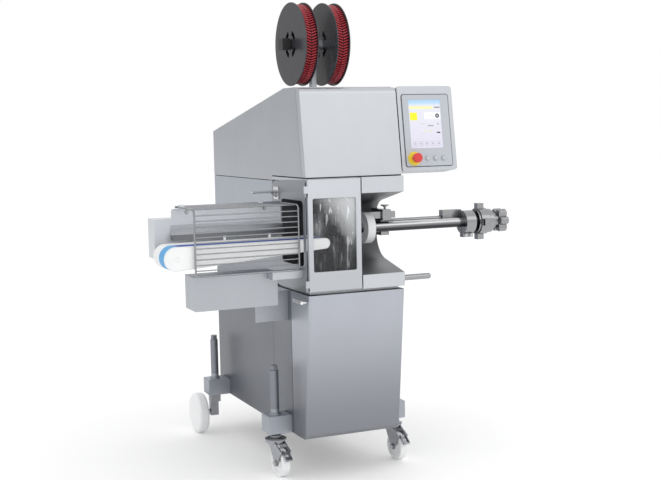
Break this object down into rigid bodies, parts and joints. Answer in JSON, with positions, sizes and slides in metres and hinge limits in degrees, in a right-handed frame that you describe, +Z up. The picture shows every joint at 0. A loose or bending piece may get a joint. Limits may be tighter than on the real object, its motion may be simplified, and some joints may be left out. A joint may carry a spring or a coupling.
{
  "type": "sausage clipping machine",
  "caption": "Free-standing stainless double clipping machine for sausage: filling horn, open scoop, clipping chamber, discharge belt with wire guard, control panel, clip spools and castors.",
  "frame": {"origin": "middle of the machine's footprint box, on the floor", "axes": "+X along the product axis from the discharge belt to the filling horn's inlet, +Y to the back, +Z up"},
  "size_m": [1.648, 1.2529, 2.0713],
  "materials": {
    "satin_steel": "bead-blasted stainless steel sheet",
    "frame_steel": "dark blasted steel",
    "bright_steel": "turned and polished stainless steel",
    "white_plastic": "white food-grade plastic",
    "belt_white": "white conveyor belting",
    "drum_alloy": "turned alloy",
    "bezel_grey": "light grey panel film",
    "screen": "lit touch screen",
    "yellow_plastic": "yellow plastic",
    "red_plastic": "red plastic",
    "black_plastic": "black plastic",
    "clip_alloy": "coiled clip strip, red and black",
    "clear_pane": "clear pane",
    "motor_paint": "painted drive"
  },
  "bodies": {
    "base": {"base_frame": "frame_steel", "body_panels": "satin_steel", "jack_brackets": "satin_steel", "chamber_housing": "satin_steel", "chamber_panel": "satin_steel", "upper_housing": "satin_steel", "head_cover": "satin_steel", "panel_housing": "satin_steel", "panel_bezel": "bezel_grey", "panel_screen": "screen", "estop_collar": "yellow_plastic", "spool_stand": "satin_steel", "conveyor_housing": "satin_steel", "conveyor_box": "satin_steel", "belt_bed": "white_plastic", "conveyor_belt": "belt_white", "belt_guide": "satin_steel", "drip_tray": "satin_steel", "side_rod": "bright_steel", "docking_bar": "bright_steel", "horn_support": "bright_steel", "filling_horn": "bright_steel", "horn_clamp": "bright_steel", "tool_stand": "frame_steel", "gear_motor": "motor_paint"},
    "cover": {"lower_cover": "satin_steel", "cover_handle": "bright_steel"},
    "door": {"window_door": "satin_steel", "window_pane": "clear_pane"},
    "spool_left_body": {"spool_left": "black_plastic", "winding_left": "clip_alloy"},
    "spool_right_body": {"spool_right": "black_plastic", "winding_right": "clip_alloy"},
    "brake": {"casing_brake": "white_plastic", "brake_carrier": "bright_steel"},
    "guard": {"wire_guard": "bright_steel"},
    "spool_nut": {"spool_knob": "black_plastic"},
    "estop": {"estop_button": "red_plastic"},
    "key_left": {"button_left": "bright_steel"},
    "key_middle": {"button_middle": "bright_steel"},
    "key_right": {"button_right": "bright_steel"},
    "drum": {"tail_drum": "drum_alloy"},
    "brake_screw": {"brake_knob": "bright_steel"},
    "union": {"union_ring": "bright_steel"},
    "star": {"star_nut": "bright_steel"},
    "upper_plates": {"gather_upper": "bright_steel"},
    "lower_plates": {"gather_lower": "bright_steel"},
    "ram": {"closing_ram": "frame_steel"},
    "front_left_leg": {"leg_front_left": "bright_steel"},
    "front_right_leg": {"leg_front_right": "bright_steel"},
    "rear_left_leg": {"leg_rear_left": "bright_steel"},
    "rear_right_leg": {"leg_rear_right": "bright_steel"},
    "left_fork": {"fork_left": "bright_steel"},
    "right_fork": {"fork_right": "bright_steel"},
    "left_castor": {"castor_wheel_left": "white_plastic"},
    "right_castor": {"castor_wheel_right": "white_plastic"},
    "left_pedal": {"pedal_left": "bright_steel"},
    "right_pedal": {"pedal_right": "bright_steel"},
    "left_wheel": {"rear_wheel_left": "white_plastic"},
    "right_wheel": {"rear_wheel_right": "white_plastic"}
  },
  "joints": [
    {"name": "cover_swing", "type": "hinge", "parent": "base", "child": "cover", "pos_m": [0.232, -0.392, 0.5], "axis": [0, 0, 1], "range_deg": [0, 90]},
    {"name": "door_swing", "type": "hinge", "parent": "base", "child": "door", "pos_m": [-0.231, -0.598, 1.078], "axis": [0, 0, -1], "range_deg": [0, 110]},
    {"name": "guard_lift", "type": "hinge", "parent": "base", "child": "guard", "pos_m": [-0.4715, -0.315, 1.207], "axis": [-1, 0, 0], "range_deg": [0, 85]},
    {"name": "estop_press", "type": "slide", "parent": "base", "child": "estop", "axis": [0, 0.9903, -0.1392], "range_m": [0, 0.006], "stiffness_N_per_m": 500},
    {"name": "button_left_press", "type": "slide", "parent": "base", "child": "key_left", "axis": [0, 0.9903, -0.1392], "range_m": [0, 0.003], "stiffness_N_per_m": 300},
    {"name": "button_middle_press", "type": "slide", "parent": "base", "child": "key_middle", "axis": [0, 0.9903, -0.1392], "range_m": [0, 0.003], "stiffness_N_per_m": 300},
    {"name": "button_right_press", "type": "slide", "parent": "base", "child": "key_right", "axis": [0, 0.9903, -0.1392], "range_m": [0, 0.003], "stiffness_N_per_m": 300},
    {"name": "spool_left_spin", "type": "hinge", "parent": "base", "child": "spool_left_body", "pos_m": [-0.134, -0.305, 1.89128], "axis": [1, 0, 0], "continuous": true},
    {"name": "spool_right_spin", "type": "hinge", "parent": "base", "child": "spool_right_body", "pos_m": [0.012, -0.305, 1.89128], "axis": [1, 0, 0], "continuous": true},
    {"name": "spool_knob_turn", "type": "hinge", "parent": "base", "child": "spool_nut", "pos_m": [-0.187, -0.305, 1.89128], "axis": [1, 0, 0], "continuous": true},
    {"name": "drum_spin", "type": "hinge", "parent": "base", "child": "drum", "pos_m": [-0.774, -0.455, 1.01], "axis": [0, 1, 0], "continuous": true},
    {"name": "brake_slide", "type": "slide", "parent": "base", "child": "brake", "axis": [1, 0, 0], "range_m": [-0.01, 0.05]},
    {"name": "brake_knob_turn", "type": "hinge", "parent": "base", "child": "brake_screw", "pos_m": [0.208, -0.455, 1.17], "axis": [0, 0, 1], "range_deg": [0, 180]},
    {"name": "union_turn", "type": "hinge", "parent": "base", "child": "union", "pos_m": [0.703, -0.455, 1.086], "axis": [1, 0, 0], "continuous": true},
    {"name": "star_turn", "type": "hinge", "parent": "base", "child": "star", "pos_m": [0.782, -0.455, 1.086], "axis": [1, 0, 0], "continuous": true},
    {"name": "gather_upper_slide", "type": "slide", "parent": "base", "child": "upper_plates", "axis": [0, 0, -1], "range_m": [0, 0.045]},
    {"name": "gather_lower_slide", "type": "slide", "parent": "base", "child": "lower_plates", "axis": [0, 0, 1], "range_m": [0, 0.045]},
    {"name": "ram_slide", "type": "slide", "parent": "base", "child": "ram", "axis": [0, 0, -1], "range_m": [0, 0.035]},
    {"name": "leg_front_left_slide", "type": "slide", "parent": "base", "child": "front_left_leg", "axis": [0, 0, -1], "range_m": [0, 0.12]},
    {"name": "leg_rear_left_slide", "type": "slide", "parent": "base", "child": "rear_left_leg", "axis": [0, 0, -1], "range_m": [0, 0.12]},
    {"name": "fork_left_swivel", "type": "hinge", "parent": "front_left_leg", "child": "left_fork", "pos_m": [-0.287, -0.329, 0.15], "axis": [0, 0, 1], "continuous": true},
    {"name": "castor_left_roll", "type": "hinge", "parent": "left_fork", "child": "left_castor", "pos_m": [-0.28308, -0.37383, 0.0625], "axis": [0.9962, 0.0872, 0], "continuous": true},
    {"name": "pedal_left_press", "type": "hinge", "parent": "left_fork", "child": "left_pedal", "pos_m": [-0.27902, -0.42025, 0.11804], "axis": [0.9962, 0.0872, 0], "range_deg": [0, 15]},
    {"name": "rear_left_roll", "type": "hinge", "parent": "rear_left_leg", "child": "left_wheel", "pos_m": [-0.376, 0.522, 0.1], "axis": [1, 0, 0], "continuous": true},
    {"name": "leg_front_right_slide", "type": "slide", "parent": "base", "child": "front_right_leg", "axis": [0, 0, -1], "range_m": [0, 0.12]},
    {"name": "leg_rear_right_slide", "type": "slide", "parent": "base", "child": "rear_right_leg", "axis": [0, 0, -1], "range_m": [0, 0.12]},
    {"name": "fork_right_swivel", "type": "hinge", "parent": "front_right_leg", "child": "right_fork", "pos_m": [0.289, -0.329, 0.15], "axis": [0, 0, 1], "continuous": true},
    {"name": "castor_right_roll", "type": "hinge", "parent": "right_fork", "child": "right_castor", "pos_m": [0.29292, -0.37383, 0.0625], "axis": [0.9962, 0.0872, 0], "continuous": true},
    {"name": "pedal_right_press", "type": "hinge", "parent": "right_fork", "child": "right_pedal", "pos_m": [0.29698, -0.42025, 0.11804], "axis": [0.9962, 0.0872, 0], "range_deg": [0, 15]},
    {"name": "rear_right_roll", "type": "hinge", "parent": "rear_right_leg", "child": "right_wheel", "pos_m": [0.378, 0.522, 0.1], "axis": [1, 0, 0], "continuous": true}
  ],
  "couplings": [
    {"joint": "gather_lower_slide", "follows": "gather_upper_slide", "ratio": 1},
    {"joint": "ram_slide", "follows": "gather_upper_slide", "ratio": 0.7777}
  ]
}
